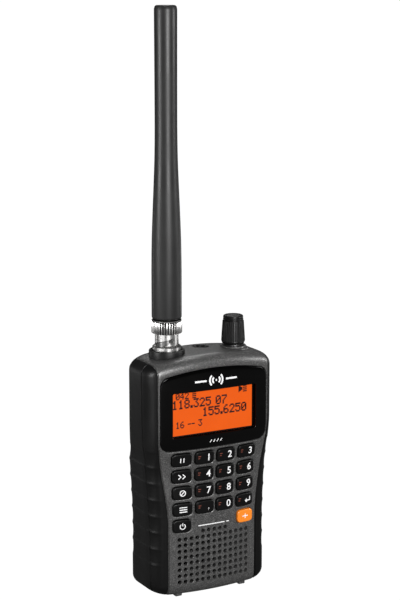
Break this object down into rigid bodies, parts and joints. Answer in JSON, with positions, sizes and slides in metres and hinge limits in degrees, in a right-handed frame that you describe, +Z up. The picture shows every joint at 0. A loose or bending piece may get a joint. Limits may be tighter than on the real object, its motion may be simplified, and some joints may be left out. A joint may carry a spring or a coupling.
{
  "type": "handheld radio scanner",
  "caption": "Handheld radio scanner with a whip aerial on a bayonet connector, a push-and-turn knob, a keypad of press keys, a display, a speaker grille and a sliding battery cover.",
  "frame": {"origin": "centre of the overall box at its base, on the surface that the four feet stand on", "axes": "+Z up along the aerial, +Y from the keypad face to the belt clip, +X to the right when the keypad faces the reader"},
  "size_m": [0.0668, 0.0404, 0.2775],
  "materials": {
    "panel_grey": "gunmetal grey satin paint with a fine metallic grain",
    "case_black": "near-black moulded plastic with a fine spark texture",
    "grip_rubber": "matt black soft-touch moulding",
    "lens_black": "glossy black bezel printed behind a clear window",
    "lcd_orange": "orange backlit display with dark red-brown segments",
    "light_guide": "translucent light guide",
    "black_plastic": "black satin plastic",
    "silicone_mat": "dark silicone sheet",
    "board_green": "green circuit board",
    "sheet_metal": "dull tinned sheet metal",
    "magnet_ferrite": "dark ferrite",
    "speaker_paper": "black paper and cloth",
    "bright_nickel": "bright nickel plate",
    "steel": "zinc plated steel",
    "brass": "turned brass",
    "antenna_rubber": "dark grey satin rubber",
    "knob_black": "black satin plastic with fine flutes",
    "cell_wrap": "plain printed foil wrap",
    "clip_black": "black spring plastic",
    "key_black": null,
    "key_amber": "translucent amber key cap"
  },
  "bodies": {
    "case": {"front_panel": "panel_grey", "rear_case": "case_black", "left_grip": "grip_rubber", "right_grip": "grip_rubber", "display_lens": "lens_black", "lcd_frame": "black_plastic", "lcd_glass": "lcd_orange", "backlight_guide": "light_guide", "keypad_mat": "silicone_mat", "control_board": "board_green", "radio_board": "board_green", "shield_can": "sheet_metal", "speaker_cloth": "speaker_paper", "speaker_basket": "sheet_metal", "speaker_cone": "speaker_paper", "speaker_magnet": "magnet_ferrite", "antenna_base_ring": "black_plastic", "antenna_jack": "bright_nickel", "encoder_housing": "sheet_metal", "earphone_jack": "black_plastic", "power_jack": "black_plastic", "battery_1": "cell_wrap", "contact_spring_1": "steel", "battery_2": "cell_wrap", "contact_spring_2": "steel", "battery_3": "cell_wrap", "contact_spring_3": "steel", "belt_clip": "clip_black", "clip_screw_upper": "steel", "clip_screw_lower": "steel", "case_screw_left": "steel", "case_screw_right": "steel"},
    "battery_door": {"battery_cover": "case_black"},
    "washer": {"spring_washer": "steel"},
    "collar": {"bayonet_collar": "bright_nickel"},
    "antenna": {"antenna_sleeve": "antenna_rubber", "antenna_plug": "bright_nickel", "plug_pin": "brass", "antenna_coil": "brass"},
    "knob_plunger": {"encoder_plunger": "black_plastic"},
    "knob": {"tuning_knob": "knob_black", "encoder_shaft": "steel"},
    "key_hold": {"key_hold": "key_black"},
    "key_1": {"key_1": "key_black"},
    "key_2": {"key_2": "key_black"},
    "key_3": {"key_3": "key_black"},
    "key_scan": {"key_scan": "key_black"},
    "key_4": {"key_4": "key_black"},
    "key_5": {"key_5": "key_black"},
    "key_6": {"key_6": "key_black"},
    "key_lockout": {"key_lockout": "key_black"},
    "key_7": {"key_7": "key_black"},
    "key_8": {"key_8": "key_black"},
    "key_9": {"key_9": "key_black"},
    "key_menu": {"key_menu": "key_black"},
    "key_point": {"key_point": "key_black"},
    "key_0": {"key_0": "key_black"},
    "key_enter": {"key_enter": "key_black"},
    "key_power": {"key_power": "key_black"},
    "key_function": {"key_function": "key_amber"}
  },
  "joints": [
    {"name": "key_hold_press", "type": "slide", "parent": "case", "child": "key_hold", "axis": [0, 1, 0], "range_m": [0, 0.0008], "stiffness_N_per_m": 1500},
    {"name": "key_1_press", "type": "slide", "parent": "case", "child": "key_1", "axis": [0, 1, 0], "range_m": [0, 0.0008], "stiffness_N_per_m": 1500},
    {"name": "key_2_press", "type": "slide", "parent": "case", "child": "key_2", "axis": [0, 1, 0], "range_m": [0, 0.0008], "stiffness_N_per_m": 1500},
    {"name": "key_3_press", "type": "slide", "parent": "case", "child": "key_3", "axis": [0, 1, 0], "range_m": [0, 0.0008], "stiffness_N_per_m": 1500},
    {"name": "key_scan_press", "type": "slide", "parent": "case", "child": "key_scan", "axis": [0, 1, 0], "range_m": [0, 0.0008], "stiffness_N_per_m": 1500},
    {"name": "key_4_press", "type": "slide", "parent": "case", "child": "key_4", "axis": [0, 1, 0], "range_m": [0, 0.0008], "stiffness_N_per_m": 1500},
    {"name": "key_5_press", "type": "slide", "parent": "case", "child": "key_5", "axis": [0, 1, 0], "range_m": [0, 0.0008], "stiffness_N_per_m": 1500},
    {"name": "key_6_press", "type": "slide", "parent": "case", "child": "key_6", "axis": [0, 1, 0], "range_m": [0, 0.0008], "stiffness_N_per_m": 1500},
    {"name": "key_lockout_press", "type": "slide", "parent": "case", "child": "key_lockout", "axis": [0, 1, 0], "range_m": [0, 0.0008], "stiffness_N_per_m": 1500},
    {"name": "key_7_press", "type": "slide", "parent": "case", "child": "key_7", "axis": [0, 1, 0], "range_m": [0, 0.0008], "stiffness_N_per_m": 1500},
    {"name": "key_8_press", "type": "slide", "parent": "case", "child": "key_8", "axis": [0, 1, 0], "range_m": [0, 0.0008], "stiffness_N_per_m": 1500},
    {"name": "key_9_press", "type": "slide", "parent": "case", "child": "key_9", "axis": [0, 1, 0], "range_m": [0, 0.0008], "stiffness_N_per_m": 1500},
    {"name": "key_menu_press", "type": "slide", "parent": "case", "child": "key_menu", "axis": [0, 1, 0], "range_m": [0, 0.0008], "stiffness_N_per_m": 1500},
    {"name": "key_point_press", "type": "slide", "parent": "case", "child": "key_point", "axis": [0, 1, 0], "range_m": [0, 0.0008], "stiffness_N_per_m": 1500},
    {"name": "key_0_press", "type": "slide", "parent": "case", "child": "key_0", "axis": [0, 1, 0], "range_m": [0, 0.0008], "stiffness_N_per_m": 1500},
    {"name": "key_enter_press", "type": "slide", "parent": "case", "child": "key_enter", "axis": [0, 1, 0], "range_m": [0, 0.0008], "stiffness_N_per_m": 1500},
    {"name": "key_power_press", "type": "slide", "parent": "case", "child": "key_power", "axis": [0, 1, 0], "range_m": [0, 0.0008], "stiffness_N_per_m": 1500},
    {"name": "key_function_press", "type": "slide", "parent": "case", "child": "key_function", "axis": [0, 1, 0], "range_m": [0, 0.0008], "stiffness_N_per_m": 1500},
    {"name": "knob_press", "type": "slide", "parent": "case", "child": "knob_plunger", "axis": [0, 0, -1], "range_m": [0, 0.0005], "stiffness_N_per_m": 3000},
    {"name": "knob_turn", "type": "hinge", "parent": "knob_plunger", "child": "knob", "pos_m": [0.0179, -0.00465, 0.124], "axis": [0, 0, 1], "continuous": true},
    {"name": "antenna_lift", "type": "slide", "parent": "case", "child": "washer", "axis": [0, 0, 1], "range_m": [0, 0.0022]},
    {"name": "collar_turn", "type": "hinge", "parent": "washer", "child": "collar", "pos_m": [-0.0179, -0.00465, 0.125], "axis": [0, 0, 1], "range_deg": [0, 88]},
    {"name": "antenna_swivel", "type": "hinge", "parent": "washer", "child": "antenna", "pos_m": [-0.0179, -0.00465, 0.125], "axis": [0, 0, 1], "continuous": true},
    {"name": "battery_cover_slide", "type": "slide", "parent": "case", "child": "battery_door", "axis": [0, 0, -1], "range_m": [0, 0.008]}
  ],
  "couplings": [
    {"joint": "collar_turn", "follows": "antenna_lift", "rad_per_m": 698.13}
  ]
}
